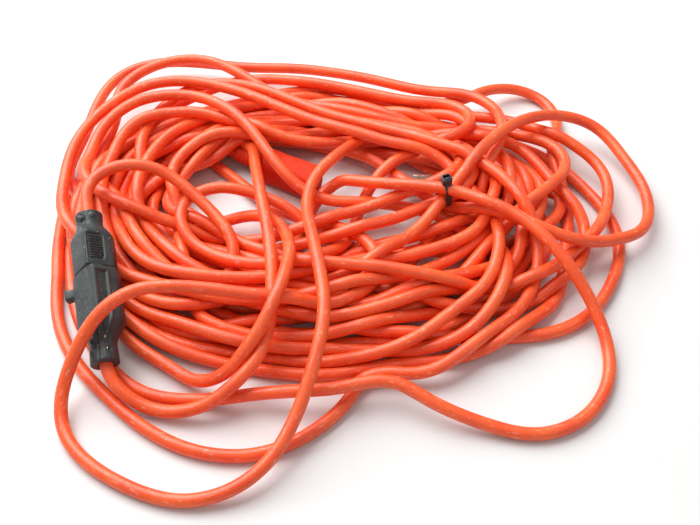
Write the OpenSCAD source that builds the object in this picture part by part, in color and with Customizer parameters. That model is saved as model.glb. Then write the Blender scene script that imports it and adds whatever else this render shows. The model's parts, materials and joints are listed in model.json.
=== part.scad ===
// Orange extension cord set lying in a loose oval coil: two lengths of round cord joined
// by a black wired-on plug and connector, each with an orange moulded end, and one cable tie.
// Origin: the surface under the middle of the heap. +X to the right, +Y to the back, +Z up.

/* [Cord] */
// Outside diameter of the round cord
cord_d = 8.6; // [7:0.1:9]
// Number of flat sides on each free stretch of cord
cord_sides = 10; // [8:1:12]

/* [Coil] */
// Outside length of the oval coil, left to right
coil_length = 416; // [400:1:430]
// Outside depth of the oval coil, front to back
coil_depth = 314; // [300:1:320]
// Height of the turns that lie flat under the loose loops
coil_height = 28; // [22:1:30]
// Length of the open middle of the coil
eye_length = 280; // [270:1:300]
// Depth of the open middle of the coil
eye_depth = 80; // [76:1:90]

/* [Black plug and connector] */
// Length of the plug body between its face and the cord end of its neck
plug_length = 46; // [44:1:52]
// Length of the connector body between its face and the cord end of its neck
connector_length = 68; // [64:1:74]
// Half of the connector's width; the plug is slimmer by the step below
connector_half_width = 15.5; // [15:0.1:17]
// How much slimmer each side of the plug is than the connector
plug_step = 1; // [0.5:0.1:1.2]
// Thickness of the shell walls
shell_wall = 2; // [1.8:0.1:2.2]
// Outside diameter of the two round necks
neck_d = 18.4; // [17:0.1:20]
// Gap between the two faces when the plug is fully home
face_gap = 0.4; // [0.3:0.1:0.8]
// How far the plug pulls out before its ground pin is free
pull_travel = 21; // [20:1:25]

/* [Lock button] */
// How far the button stands out of the connector's side
button_out = 6; // [5:0.5:7]
// Travel of the button
button_travel = 2; // [1.5:0.1:2.5]

/* [Orange moulded ends] */
// Width of each moulded body
end_width = 24; // [23.5:0.5:26]
// Height of each moulded body
end_height = 23.5; // [23.5:0.5:25]
// Length of each moulded body, without its strain relief
end_body = 42; // [38:1:46]
// Length of the tapered strain relief
relief_length = 22; // [20:1:24]

/* [Blades and pins] */
// Distance between the two flat blades
blade_pitch = 12.7; // [12.7:0.1:12.8]
// Width of a blade
blade_width = 6.35; // [6.3:0.05:6.4]
// Thickness of a blade
blade_thick = 1.52; // [1.4:0.02:1.6]
// Length of a blade beyond the face
blade_out = 17; // [16:0.5:18]
// Diameter of the round ground pin
ground_d = 4.75; // [4.7:0.05:4.8]
// Length of the ground pin beyond the face
ground_out = 20; // [19:0.5:21]
// Distance from the line of the blades to the ground pin
ground_drop = 11.9; // [11.8:0.05:12]

/* [Cable tie] */
// Width of the cable tie's strap
tie_width = 4.8; // [4:0.1:5]
// Thickness of the strap
tie_thick = 1.3; // [1:0.1:1.5]

/* [Hidden] */
$fn = 48;
cord_r = cord_d / 2;
neck_r = neck_d / 2;
bore_r = cord_r + 0.08;
eps = 0.01;

// The coil's outline and its open middle, as two ovals
coil_mid = [-18, 27];
eye_mid = [0, 58];
oval_steps = 72;

// The pair lies on the left shoulder of the coil, its plug end uppermost
seam = [-171, -46, 36];
pair_tilt = -77;
pair_turn = 13;
pair_roll = -10;
trough_r = 24;

plug_half = connector_half_width - plug_step;
plug_ridge = 16.4;
plug_base = 15;
connector_ridge = 17.4;
connector_base = 15.6;
plug_body = 26;
plug_neck = 11;
connector_body = 38;
connector_neck = 15;
blade_y = -3;
ground_y = blade_y + ground_drop;
plug_carrier_h = 12;
connector_carrier_h = 24;
terminal_out = 21;
screw_r = 1.6;
screw_head_r = 2.8;
jacket_gap = 0.8;
leaf = 0.8;
button_width = 7;
button_high = 8;
button_z = -11;
button_y = 2;

// The two moulded ends lie on the surface inside the open middle
outlet_face = [-28, 62];
outlet_turn = -28;
end_plug_face = [62, 56];
end_plug_turn = 180;
end_corner = 7.5;
end_shoulder = 6;
relief_r1 = 7;
relief_r2 = 5.6;
block_w = 18;
block_h = 20;
block_length = 26;
block_corner = 3;
end_blade_y = -5.4;
end_ground_y = end_blade_y + ground_drop;

// The cable tie holds two strands that cross, one above the other
tie_at = [66, 29, 36];
tie_turn = 20;
tie_half = 5.6;
tie_rise = 4.5;
tie_head = [7.4, 7, 5];
tie_pocket = [5, 4.6, 3.6];
tie_top = tie_rise + tie_half + 0.4;
pawl_root_r = 0.5;
contact_from = 4.3;
outlet_slack = 0.25;
end_inside = 22;

// Hand-laid routes of the cord where it isn't in the coil, each from one end to the other
front_left_loop_route = [
    [-15, -62, 22], [-35, -68, 38], [-65, -72, 47], [-100, -70, 52], [-135, -74, 56], [-158, -88, 50],
    [-176, -108, 28], [-184, -132, 8], [-172, -158, 4.3], [-142, -180, 4.3], [-105, -193, 4.3],
    [-72, -188, 8], [-48, -170, 15], [-34, -145, 24], [-24, -118, 38], [-18, -85, 47],
    [-22, -50, 48], [-28, -15, 42], [-33, 18, 34], [-28, 48, 33], [-12, 72, 32], [5, 95, 26], [14, 112, 22]];
outer_front_loop_route = [
    [-208, -12, 10], [-205, -42, 5], [-197, -69, 4.3], [-181, -96, 4.3], [-157, -121, 4.3],
    [-130, -144, 4.3], [-98, -160, 4.3], [-61, -163, 4.3], [-28, -149, 4.3], [-2, -124, 5], [8, -104, 8]];
right_front_loop_route = [
    [-14, 58, 20], [6, 47, 29], [28, 39, 35], [46, 33, 39.5], [66, 29, 40.4], [92, 16, 42], [120, -4, 42], [144, -34, 34],
    [162, -60, 16], [169, -90, 5], [161, -118, 4.3], [141, -140, 4.3], [112, -149, 4.3],
    [80, -142, 7], [50, -132, 14], [22, -116, 18]];
right_loop_route = [
    [46, 4, 22], [56, 16, 29], [66, 29, 31.6], [76, 43, 34], [96, 70, 42], [122, 96, 42], [158, 122, 28],
    [192, 120, 18], [211, 88, 12], [221, 52, 10], [212, 16, 12], [186, 0, 18], [160, -6, 22]];
back_right_loop_route = [
    [84, 148, 18], [110, 166, 16], [138, 177, 8], [160, 166, 4.5], [167, 142, 5], [160, 112, 12], [150, 90, 18]];
back_left_loop_route = [
    [-186, 122, 20], [-190, 152, 24], [-174, 178, 26], [-146, 192, 27], [-116, 190, 27], [-84, 170, 24], [-56, 148, 20]];

// Closed curve of an oval with the given middle, length and depth
function oval(mid, length, depth) = [
    for (i = [0 : oval_steps - 1])
        mid + [length / 2 * cos(360 * i / oval_steps), depth / 2 * sin(360 * i / oval_steps)]];

function clamp(i, n) = max(0, min(n - 1, i));
function unit(v) = v / norm(v);
function along(p, i) = unit(p[clamp(i + 1, len(p))] - p[clamp(i - 1, len(p))]);

// One ring of the tube, square to the route, with its first corner as near straight up as it can be
function ring(p, i, r) =
    let (t = along(p, i), side = unit(cross([0, 0.02, 1], t)), top = cross(t, side))
    [for (k = [0 : cord_sides - 1]) p[i] + r * (top * cos(360 * k / cord_sides) + side * sin(360 * k / cord_sides))];

module tube(p, r) {
    n = cord_sides;
    rings = len(p);
    points = [for (i = [0 : rings - 1], q = ring(p, i, r)) q];
    walls = [for (i = [0 : rings - 2], k = [0 : n - 1], half = [0, 1])
        let (a = i * n + k, b = i * n + (k + 1) % n)
        half == 0 ? [a, b, a + n] : [b, b + n, a + n]];
    first = [for (k = [0 : n - 1]) n - 1 - k];
    last = [for (k = [0 : n - 1]) (rings - 1) * n + k];
    polyhedron(points = points, faces = concat([first, last], walls), convexity = 10);
}

// A straight round rod between two points
module rod(a, b, r) {
    v = b - a;
    translate(a)
        rotate([0, acos(v[2] / norm(v)), atan2(v[1], v[0])])
            cylinder(r = r, h = norm(v), $fn = 24);
}

// Places a piece of the black pair: its own +Z runs from the connector to the plug
module in_pair() {
    translate(seam) rotate([pair_tilt, 0, pair_turn]) rotate([0, 0, pair_roll]) children();
}

// The point of the heap's frame at a place on the pair's axis
function turned(v) =
    let (a = pair_tilt, c = pair_turn, y = v[1] * cos(a) - v[2] * sin(a), z = v[1] * sin(a) + v[2] * cos(a))
    [v[0] * cos(c) - y * sin(c), v[0] * sin(c) + y * cos(c), z];
function on_axis(z) = seam + turned([0, 0, z]);

plug_lead_route = [
    on_axis(face_gap + plug_length - 14), on_axis(face_gap + plug_length + 3), [-186, 17, 52],
    [-174, 33, 55], [-150, 41, 53], [-127, 36, 44], [-112, 24, 36]];
connector_lead_route = [
    on_axis(-connector_length + 14), on_axis(-connector_length - 3), [-151, -119, 14.5], [-140, -127, 10.5],
    [-126, -132, 5.5], [-108, -135, 8], [-90, -132, 13], [-73, -122, 22], [-62, -112, 30]];

// The cord's way out of each moulded end, from inside its strain relief into the coil
end_total = end_body + end_shoulder + relief_length;
function from_face(face, turn, l) = [face[0] - l * cos(turn), face[1] - l * sin(turn), end_height / 2];
outlet_lead_route = [
    from_face(outlet_face, outlet_turn, end_body), from_face(outlet_face, outlet_turn, end_total + 2),
    [-100, 101, 12.5], [-122, 110, 13]];
end_plug_lead_route = [
    from_face(end_plug_face, end_plug_turn, end_body), from_face(end_plug_face, end_plug_turn, end_total + 2),
    [148, 55, 11], [166, 44, 10]];

/* ---------- cord ---------- */

module main_coil() {
    color("orangered")
        difference() {
            linear_extrude(coil_height)
                difference() {
                    polygon(oval(coil_mid, coil_length, coil_depth));
                    polygon(oval(eye_mid, eye_length, eye_depth));
                }
            in_pair()
                translate([0, 0, -connector_length - 8])
                    cylinder(r = trough_r, h = connector_length + plug_length + 60);
        }
}

module front_left_loop() { color("orangered") tube(front_left_loop_route, cord_r); }
module outer_front_loop() { color("orangered") tube(outer_front_loop_route, cord_r); }
module right_front_loop() { color("orangered") tube(right_front_loop_route, cord_r); }
module right_loop() { color("orangered") tube(right_loop_route, cord_r); }
module back_right_loop() { color("orangered") tube(back_right_loop_route, cord_r); }
module back_left_loop() { color("orangered") tube(back_left_loop_route, cord_r); }
module plug_lead() { color("orangered") tube(plug_lead_route, cord_r); }
module connector_lead() { color("orangered") tube(connector_lead_route, cord_r); }

/* ---------- black plug and connector ---------- */

// House-shaped section of the pair: a ridge on the upper side, two sloping faces, a flat base
module section(half, ridge, base) {
    polygon([[0, -ridge], [half, -2.5], [half, 6], [half - 6.5, base],
        [6.5 - half, base], [-half, 6], [-half, -2.5]]);
}

// A solid body that runs along +Z: straight, then a shoulder, then a round neck
module body_form(half, ridge, base, body, neck_from, length, r) {
    linear_extrude(body) section(half, ridge, base);
    hull() {
        translate([0, 0, body - eps]) linear_extrude(eps) section(half, ridge, base);
        translate([0, 0, neck_from]) cylinder(r = r, h = eps, $fn = 32);
    }
    translate([0, 0, neck_from]) cylinder(r = r, h = length - neck_from);
}

// The hollow inside a body, open at its face, with a bore for the cord down its neck
module body_hollow(half, ridge, base, body, neck_from, length) {
    w = shell_wall;
    translate([0, 0, -1]) linear_extrude(body + 1) section(half - w, ridge - w * 1.45, base - w);
    hull() {
        translate([0, 0, body - eps]) linear_extrude(eps) section(half - w, ridge - w * 1.45, base - w);
        translate([0, 0, neck_from - 1]) cylinder(r = neck_r - 3, h = eps, $fn = 32);
    }
    translate([0, 0, neck_from - 2]) cylinder(r = bore_r, h = length);
}

module half_space(side) {
    translate([side > 0 ? 0 : -60, -60, -150]) cube([60, 120, 300]);
}

module plug_form() {
    body_form(plug_half, plug_ridge, plug_base, plug_body, plug_length - plug_neck, plug_length, neck_r);
    translate([-2.6, -8.4, plug_length - 8]) sphere(r = 2.2);
}

module plug_hollow() {
    body_hollow(plug_half, plug_ridge, plug_base, plug_body, plug_length - plug_neck, plug_length);
}

module connector_form() {
    body_form(connector_half_width, connector_ridge, connector_base, connector_body,
        connector_length - connector_neck, connector_length, neck_r);
}

module connector_hollow() {
    body_hollow(connector_half_width, connector_ridge, connector_base, connector_body,
        connector_length - connector_neck, connector_length);
}

// Screws that join two half shells across the neck, one each side of the cord
module shell_screw_at(z, y) {
    translate([0, y, z]) rotate([0, 90, 0]) children();
}
plug_screws = [[plug_length - 6, 6.9], [plug_length - 6, -6.9]];
connector_screws = [[connector_length - 10, 6.9], [connector_length - 10, -6.9], [connector_length - 18, -7.6]];
shell_screw_r = 1.1;

module shell_screw_holes(places) {
    for (p = places)
        shell_screw_at(p[0], p[1]) cylinder(r = shell_screw_r + 0.05, h = 40, center = true, $fn = 24);
}

module shell_screws(places) {
    for (p = places)
        shell_screw_at(p[0], p[1])
            cylinder(r = shell_screw_r, h = 10.4, center = true, $fn = 24);
}

// Ridged finger grip: shallow parallel grooves across the right-hand sloping face of the plug
module grip_grooves() {
    for (k = [0 : 8])
        translate([7.9, -10.2, 6.5 + 1.9 * k])
            rotate([0, 0, 44]) translate([-4.5, -2, 0]) cube([9, 2.4, 0.9]);
}

// Long window panel on the right-hand sloping face of the connector
module window_panel() {
    translate([8.3, -10.6, 5]) rotate([0, 0, 44]) translate([-3.6, -2, 0]) cube([7.2, 2.5, 33]);
}

module button_window() {
    c = 0.3;
    translate([-connector_half_width - 3, button_y - button_width / 2 - c, -button_z - button_high / 2 - c])
        cube([8, button_width + 2 * c, button_high + 2 * c]);
}

module plug_half_shell(side) {
    in_pair() translate([0, 0, face_gap])
        intersection() {
            difference() {
                plug_form();
                plug_hollow();
                shell_screw_holes(plug_screws);
                if (side > 0) grip_grooves();
            }
            half_space(side);
        }
}

module connector_half_shell(side) {
    in_pair() mirror([0, 0, 1])
        intersection() {
            difference() {
                connector_form();
                connector_hollow();
                shell_screw_holes(connector_screws);
                if (side > 0) window_panel();
                if (side < 0) button_window();
            }
            half_space(side);
        }
}

module plug_left_shell() { color("dimgray") plug_half_shell(-1); }
module plug_right_shell() { color("dimgray") plug_half_shell(1); }
module connector_left_shell() { color("dimgray") connector_half_shell(-1); }
module connector_right_shell() { color("dimgray") connector_half_shell(1); }

module plug_shell_screws() {
    color("goldenrod") in_pair() translate([0, 0, face_gap]) shell_screws(plug_screws);
}

module connector_shell_screws() {
    color("goldenrod") in_pair() mirror([0, 0, 1]) shell_screws(connector_screws);
}

// Block that fills a mouth behind its face, with a slot for each blade and a hole for the pin
module carrier(half, ridge, base, height, slack) {
    w = shell_wall + 0.1;
    difference() {
        linear_extrude(height) section(half - w, ridge - w * 1.45, base - w);
        for (side = [-1, 1])
            translate([side * blade_pitch / 2, blade_y, height / 2])
                cube([blade_thick + 2 * slack, blade_width + 2 * slack, height + 2], center = true);
        translate([0, ground_y, -1]) cylinder(r = ground_d / 2 + slack, h = height + 2);
    }
}

module plug_blade_carrier() {
    color("darkslategray") in_pair() translate([0, 0, face_gap])
        carrier(plug_half, plug_ridge, plug_base, plug_carrier_h, 0.04);
}

// One flat blade with the hole for its terminal screw, along +Z from its tip at -out
module blade(out, inside) {
    difference() {
        translate([-blade_thick / 2, -blade_width / 2, -out]) cube([blade_thick, blade_width, out + inside]);
        translate([0, 0, inside - 4]) rotate([0, 90, 0]) cylinder(r = screw_r + 0.05, h = 8, center = true, $fn = 24);
    }
}

// Round pin with a domed tip and a thinner shank behind the face
module ground_post(out, inside) {
    translate([0, 0, -out + ground_d / 2]) sphere(r = ground_d / 2);
    translate([0, 0, -out + ground_d / 2]) cylinder(r = ground_d / 2, h = out - ground_d / 2);
    translate([0, 0, -1]) cylinder(r = ground_d / 2 - 0.2, h = inside + 1);
}

module plug_hot_blade() {
    color("silver") in_pair() translate([blade_pitch / 2, blade_y, face_gap]) blade(blade_out, terminal_out);
}

module plug_neutral_blade() {
    color("silver") in_pair() translate([-blade_pitch / 2, blade_y, face_gap]) blade(blade_out, terminal_out);
}

module plug_ground_pin() {
    color("silver") in_pair() translate([0, ground_y, face_gap]) ground_post(ground_out, terminal_out - 4);
}

// Terminal screws: a shaft through the strip and a head on its outer side, past half its thickness
module terminal_screw(side, half_strip) {
    rotate([0, side * 90, 0]) {
        translate([0, 0, -2.6]) cylinder(r = screw_r, h = 3.6, $fn = 24);
        translate([0, 0, half_strip + 0.02]) cylinder(r = screw_head_r, h = 1.6, $fn = 24);
    }
}

module plug_terminal_screws() {
    color("goldenrod") in_pair() for (side = [-1, 1])
        translate([side * blade_pitch / 2, blade_y, face_gap + terminal_out - 4])
            terminal_screw(side, blade_thick / 2);
}

module plug_conductors() {
    jacket_end = face_gap + plug_length - 14 - jacket_gap;
    color("white") in_pair() {
        rod([1.9, -1.2, jacket_end], [3.6, blade_y + 2, face_gap + terminal_out - 2], 1.2);
        rod([-1.9, -1.2, jacket_end], [-3.6, blade_y + 2, face_gap + terminal_out - 2], 1.2);
        rod([0, 2.4, jacket_end], [0, ground_y - 1, face_gap + terminal_out - 2.8], 1.2);
    }
}

module connector_contact_carrier() {
    color("darkslategray") in_pair() mirror([0, 0, 1])
        difference() {
            carrier(connector_half_width, connector_ridge, connector_base, connector_carrier_h, 0.35);
            for (side = [-1, 1])
                translate([side * blade_pitch / 2, blade_y, 4 + connector_carrier_h / 2])
                    cube([4, 8.2, connector_carrier_h], center = true);
            translate([0, ground_y, 4]) cylinder(r = 3.9, h = connector_carrier_h);
            translate([-connector_half_width, button_y - 6, -button_z - 6]) cube([7.2, 12, 12]);
        }
}

// Two springy leaves that grip a blade, joined at the back by a terminal tab
module leaf_contact() {
    grip = blade_thick / 2 + 0.12;
    difference() {
        union() {
            translate([-grip - leaf, -3.6, 4.3]) cube([2 * (grip + leaf), 7.2, 20.7]);
            translate([-leaf, -3, 25]) cube([2 * leaf, 6, 10]);
        }
        translate([-grip, -4, 3]) cube([2 * grip, 8, 19]);
        translate([0, 0, 31]) rotate([0, 90, 0]) cylinder(r = screw_r + 0.05, h = 8, center = true, $fn = 24);
    }
}

module connector_hot_contact() {
    color("goldenrod") in_pair() mirror([0, 0, 1]) translate([blade_pitch / 2, blade_y, 0]) leaf_contact();
}

module connector_neutral_contact() {
    color("goldenrod") in_pair() mirror([0, 0, 1]) translate([-blade_pitch / 2, blade_y, 0]) leaf_contact();
}

module connector_ground_contact() {
    color("goldenrod") in_pair() mirror([0, 0, 1]) translate([0, ground_y, 4.3])
        difference() {
            cylinder(r = 3.7, h = 22);
            translate([0, 0, -1]) cylinder(r = ground_d / 2 + 0.1, h = 19);
        }
}

module connector_terminal_screws() {
    color("goldenrod") in_pair() mirror([0, 0, 1]) for (side = [-1, 1])
        translate([side * blade_pitch / 2, blade_y, 31]) terminal_screw(side, leaf);
}

module connector_conductors() {
    jacket_end = connector_length - 14 - jacket_gap;
    color("white") in_pair() mirror([0, 0, 1]) {
        rod([1.9, -1.2, jacket_end], [3.4, blade_y + 2, 35.4], 1.2);
        rod([-1.9, -1.2, jacket_end], [-3.4, blade_y + 2, 35.4], 1.2);
        rod([0, 2.4, jacket_end], [0, ground_y - 1.4, 26.6], 1.2);
    }
}

// Release button: a block through the left shell, with a flange that keeps it in and a spring stud
module lock_release_button() {
    inner = connector_half_width - shell_wall;
    color("dimgray") in_pair() mirror([0, 0, 1]) {
        translate([-connector_half_width - button_out, button_y - button_width / 2, -button_z - button_high / 2])
            cube([button_out + shell_wall, button_width, button_high]);
        translate([-inner + 0.2, button_y - 4.1, -button_z - 5]) cube([1, 7.8, 10]);
    }
}

// Return spring of the button, as a short round sleeve between the button and the block
module lock_spring() {
    inner = connector_half_width - shell_wall;
    color("silver") in_pair() mirror([0, 0, 1])
        translate([-inner + 1.4, button_y, -button_z]) rotate([0, 90, 0])
            difference() {
                cylinder(r = 2.6, h = 3.6, $fn = 24);
                translate([0, 0, -1]) cylinder(r = 1.8, h = 6, $fn = 24);
            }
}

/* ---------- orange moulded ends ---------- */

// Places a moulded end: its own +Z runs from its face at 0 back to its strain relief, +Y is down
module in_end(face, turn) {
    translate([face[0], face[1], end_height / 2]) rotate([0, 0, turn])
        rotate([0, -90, 0]) rotate([0, 0, 90]) children();
}

module in_outlet() {
    in_end(outlet_face, outlet_turn) children();
}

module in_end_plug() {
    in_end(end_plug_face, end_plug_turn) children();
}

// Rounded rectangle about the axis, as flat sides and four round corners
module end_section(w, h, r) {
    square([w - 2 * r, h], center = true);
    square([w, h - 2 * r], center = true);
    for (x = [-1, 1], y = [-1, 1]) translate([x * (w / 2 - r), y * (h / 2 - r)]) circle(r = r);
}

// Body, shoulder and strain relief in one moulding, hollow for the contact block and the cord
module moulding() {
    difference() {
        union() {
            linear_extrude(end_body) end_section(end_width, end_height, end_corner);
            hull() {
                translate([0, 0, end_body - eps]) linear_extrude(eps)
                    end_section(end_width, end_height, end_corner);
                translate([0, 0, end_body + end_shoulder]) cylinder(r = relief_r1, h = eps);
            }
            translate([0, 0, end_body + end_shoulder])
                cylinder(r1 = relief_r1, r2 = relief_r2, h = relief_length);
        }
        translate([0, 0, -1]) linear_extrude(block_length + 1)
            end_section(block_w + 0.1, block_h + 0.1, block_corner);
        translate([0, 0, block_length - 2]) cylinder(r = bore_r, h = end_body + relief_length);
    }
}

// Contact block with a slot for each blade and a hole for the pin; slack widens them
module block(slack) {
    difference() {
        linear_extrude(block_length) end_section(block_w, block_h, block_corner);
        for (side = [-1, 1])
            translate([side * blade_pitch / 2, end_blade_y, 0])
                cube([blade_thick + 2 * slack, blade_width + 2 * slack, 3 * block_length], center = true);
        translate([0, end_ground_y, -1]) cylinder(r = ground_d / 2 + slack, h = 2 * block_length);
    }
}

// Room behind the outlet's face for its three contacts
module contact_pockets() {
    for (side = [-1, 1])
        translate([side * blade_pitch / 2, end_blade_y, contact_from - 0.2 + block_length / 2])
            cube([3.7, 7.2, block_length], center = true);
    translate([0, end_ground_y, contact_from - 0.2]) cylinder(r = 3.3, h = block_length);
}

// Two leaves that grip a blade, closed at the back, with a round barrel for its conductor
module end_contact() {
    grip = blade_thick / 2 + 0.12;
    difference() {
        translate([-grip - leaf, -3.4, contact_from]) cube([2 * (grip + leaf), 6.8, 16]);
        translate([-grip, -4, contact_from - 1]) cube([2 * grip, 8, 15.5]);
    }
    translate([0, 0, contact_from + 16]) cylinder(r = 1.6, h = 5, $fn = 24);
}

module outlet_moulding() { color("tomato") in_outlet() moulding(); }
module end_plug_moulding() { color("tomato") in_end_plug() moulding(); }

module outlet_contact_block() {
    color("tomato") in_outlet()
        difference() {
            block(outlet_slack);
            contact_pockets();
        }
}

module outlet_hot_contact() {
    color("goldenrod") in_outlet() translate([blade_pitch / 2, end_blade_y, 0]) end_contact();
}

module outlet_neutral_contact() {
    color("goldenrod") in_outlet() translate([-blade_pitch / 2, end_blade_y, 0]) end_contact();
}

module outlet_ground_contact() {
    color("goldenrod") in_outlet() translate([0, end_ground_y, contact_from])
        difference() {
            cylinder(r = 3.2, h = 20);
            translate([0, 0, -1]) cylinder(r = ground_d / 2 + 0.1, h = 18);
        }
}

module end_plug_block() { color("tomato") in_end_plug() block(0.03); }

module end_plug_hot_blade() {
    color("silver") in_end_plug() translate([blade_pitch / 2, end_blade_y, 0]) blade(blade_out, end_inside);
}

module end_plug_neutral_blade() {
    color("silver") in_end_plug() translate([-blade_pitch / 2, end_blade_y, 0]) blade(blade_out, end_inside);
}

module end_plug_ground_pin() {
    color("silver") in_end_plug() translate([0, end_ground_y, 0]) ground_post(ground_out, end_inside);
}

module outlet_lead() { color("orangered") tube(outlet_lead_route, cord_r); }
module end_plug_lead() { color("orangered") tube(end_plug_lead_route, cord_r); }

/* ---------- cable tie ---------- */

// Places a piece of the tie: its own +X runs through its loop, +Z is up
module in_tie() {
    translate(tie_at) rotate([0, 0, tie_turn]) children();
}

// Upright slot shape, as wide as the strands and tall enough for two of them
module slot_shape(r) {
    for (side = [-1, 1]) translate([0, side * tie_rise]) circle(r = r);
    square([2 * r, 2 * tie_rise], center = true);
}

// Strap, head and cut-off tail in one moulding; the tail's end shows in the head's pocket
module cable_tie() {
    color("black") in_tie() {
        rotate([90, 0, 90]) translate([0, 0, -tie_width / 2]) linear_extrude(tie_width)
            difference() {
                slot_shape(tie_half + tie_thick);
                slot_shape(tie_half);
            }
        difference() {
            translate([0, 0, tie_top]) linear_extrude(tie_head[2])
                end_section(tie_head[0], tie_head[1], 1.6);
            translate([-tie_pocket[0] / 2, -tie_pocket[1] / 2, tie_top + tie_head[2] - tie_pocket[2]])
                cube([tie_pocket[0], tie_pocket[1], tie_pocket[2] + 1]);
        }
        translate([-tie_width / 2 + 0.3, -tie_pocket[1] / 2 + 0.2, tie_top + 1])
            cube([tie_width - 0.6, tie_thick, tie_head[2] - 1.3]);
    }
}

// Toothed tongue that holds the tail; it bends back about its round root at the pocket's floor
module cable_tie_pawl() {
    root = tie_top + tie_head[2] - tie_pocket[2] + 0.05 + pawl_root_r;
    color("black") in_tie() translate([-1.6, 0, root])
        rotate([90, 0, 90]) linear_extrude(3.2) {
            circle(r = pawl_root_r, $fn = 24);
            polygon([[-0.5, 0], [0.5, 0], [0.4, 1.9], [-0.65, 2.2], [-0.65, 1.7], [-0.4, 1.5], [-0.65, 0.9], [-0.4, 0.7]]);
        }
}

main_coil();
front_left_loop();
outer_front_loop();
right_front_loop();
right_loop();
back_right_loop();
back_left_loop();
plug_lead();
connector_lead();
plug_left_shell();
plug_right_shell();
plug_shell_screws();
plug_blade_carrier();
plug_hot_blade();
plug_neutral_blade();
plug_ground_pin();
plug_terminal_screws();
plug_conductors();
connector_left_shell();
connector_right_shell();
connector_shell_screws();
connector_contact_carrier();
connector_hot_contact();
connector_neutral_contact();
connector_ground_contact();
connector_terminal_screws();
connector_conductors();
lock_release_button();
lock_spring();
outlet_moulding();
outlet_contact_block();
outlet_hot_contact();
outlet_neutral_contact();
outlet_ground_contact();
outlet_lead();
end_plug_moulding();
end_plug_block();
end_plug_hot_blade();
end_plug_neutral_blade();
end_plug_ground_pin();
end_plug_lead();
cable_tie();
cable_tie_pawl();
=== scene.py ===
"""Looks of a loose heap of orange extension cord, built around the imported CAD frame.

Lengths below are in millimetres unless a name says otherwise; meshes are made in metres.
"""

import json
import math

import bmesh
import bpy
import numpy as np
from mathutils import Matrix, Vector


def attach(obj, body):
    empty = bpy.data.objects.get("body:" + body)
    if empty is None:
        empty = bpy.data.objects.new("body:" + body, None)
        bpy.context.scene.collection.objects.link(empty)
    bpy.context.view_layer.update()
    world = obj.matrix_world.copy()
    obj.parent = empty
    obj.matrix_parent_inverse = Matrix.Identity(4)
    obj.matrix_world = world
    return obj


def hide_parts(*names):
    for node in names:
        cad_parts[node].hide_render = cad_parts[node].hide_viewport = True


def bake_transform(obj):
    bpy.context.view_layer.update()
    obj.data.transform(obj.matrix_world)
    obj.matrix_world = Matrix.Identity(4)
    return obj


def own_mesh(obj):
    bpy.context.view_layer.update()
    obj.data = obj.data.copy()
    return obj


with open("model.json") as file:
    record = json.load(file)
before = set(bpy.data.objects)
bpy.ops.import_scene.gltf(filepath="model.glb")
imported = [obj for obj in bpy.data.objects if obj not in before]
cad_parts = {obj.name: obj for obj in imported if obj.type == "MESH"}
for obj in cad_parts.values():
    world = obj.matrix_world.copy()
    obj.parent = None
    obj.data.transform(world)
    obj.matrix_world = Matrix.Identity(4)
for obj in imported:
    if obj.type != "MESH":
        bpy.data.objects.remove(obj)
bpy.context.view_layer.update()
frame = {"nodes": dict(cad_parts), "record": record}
MM = 0.001
scene = bpy.context.scene

# ---- camera

CAMERA_AIM = Vector((-0.002, -0.006, 0.0))
CAMERA_DISTANCE = 0.672
CAMERA_ELEVATION = math.radians(50)
CAMERA_LENS, CAMERA_SENSOR = 48, 36


def add_object(name, data):
    obj = bpy.data.objects.new(name, data)
    scene.collection.objects.link(obj)
    return obj


def add_camera():
    data = bpy.data.cameras.new("camera")
    data.lens, data.sensor_width = CAMERA_LENS, CAMERA_SENSOR
    camera = add_object("camera", data)
    back = Vector((0, -math.cos(CAMERA_ELEVATION), math.sin(CAMERA_ELEVATION)))
    camera.location = CAMERA_AIM + CAMERA_DISTANCE * back
    camera.rotation_euler = (math.radians(90) - CAMERA_ELEVATION, 0, 0)
    scene.camera = camera
    return camera


camera = add_camera()
EYE = np.array(camera.location) / MM

# ---- cord routes

CORD_D = 8.6
CORD_R = CORD_D / 2
STEP = 10.0              # length of the pieces that the cord is settled in
CORD_SPACING = 4.2       # distance between the rings of the finished cord
CORD_SIDES = 16

# The black pair's seam and the direction from its connector to its plug
SEAM = np.array([-171.0, -46.0, 36.0])
AXIS = np.array([-0.219186, 0.949397, 0.224951])
PLUG_TRAVEL = 21         # how far the plug's joint draws it out


def on_axis(z):
    return tuple(SEAM + z * AXIS)


# The CAD model's own free stretches, all taken clockwise as seen from above
PLUG_LEAD = [on_axis(32.4), on_axis(49.4), (-186, 17, 52), (-174, 33, 55), (-150, 41, 53),
             (-127, 36, 44), (-112, 24, 36)]
CONNECTOR_LEAD = [(-62, -112, 30), (-73, -122, 22), (-90, -132, 13), (-108, -135, 8),
                  (-126, -132, 5.5), (-140, -127, 10.5), (-151, -119, 14.5), on_axis(-71), on_axis(-54)]
OUTER_FRONT_LOOP = [(8, -104, 8), (-2, -124, 5), (-28, -149, 4.3), (-61, -163, 4.3), (-98, -160, 4.3),
                    (-130, -144, 4.3), (-157, -121, 4.3), (-181, -96, 4.3), (-197, -69, 4.3),
                    (-205, -42, 5), (-208, -12, 10)]
FRONT_LEFT_LOOP = [(-15, -62, 22), (-35, -68, 38), (-65, -72, 47), (-100, -70, 52), (-135, -74, 56),
                   (-158, -88, 50), (-176, -108, 28), (-184, -132, 8), (-172, -158, 4.3),
                   (-142, -180, 4.3), (-105, -193, 4.3), (-72, -188, 8), (-48, -170, 15),
                   (-34, -145, 24), (-24, -118, 38), (-18, -85, 47), (-22, -50, 48), (-28, -15, 42),
                   (-33, 18, 34), (-28, 48, 33), (-12, 72, 32), (5, 95, 26), (14, 112, 22)]
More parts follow.
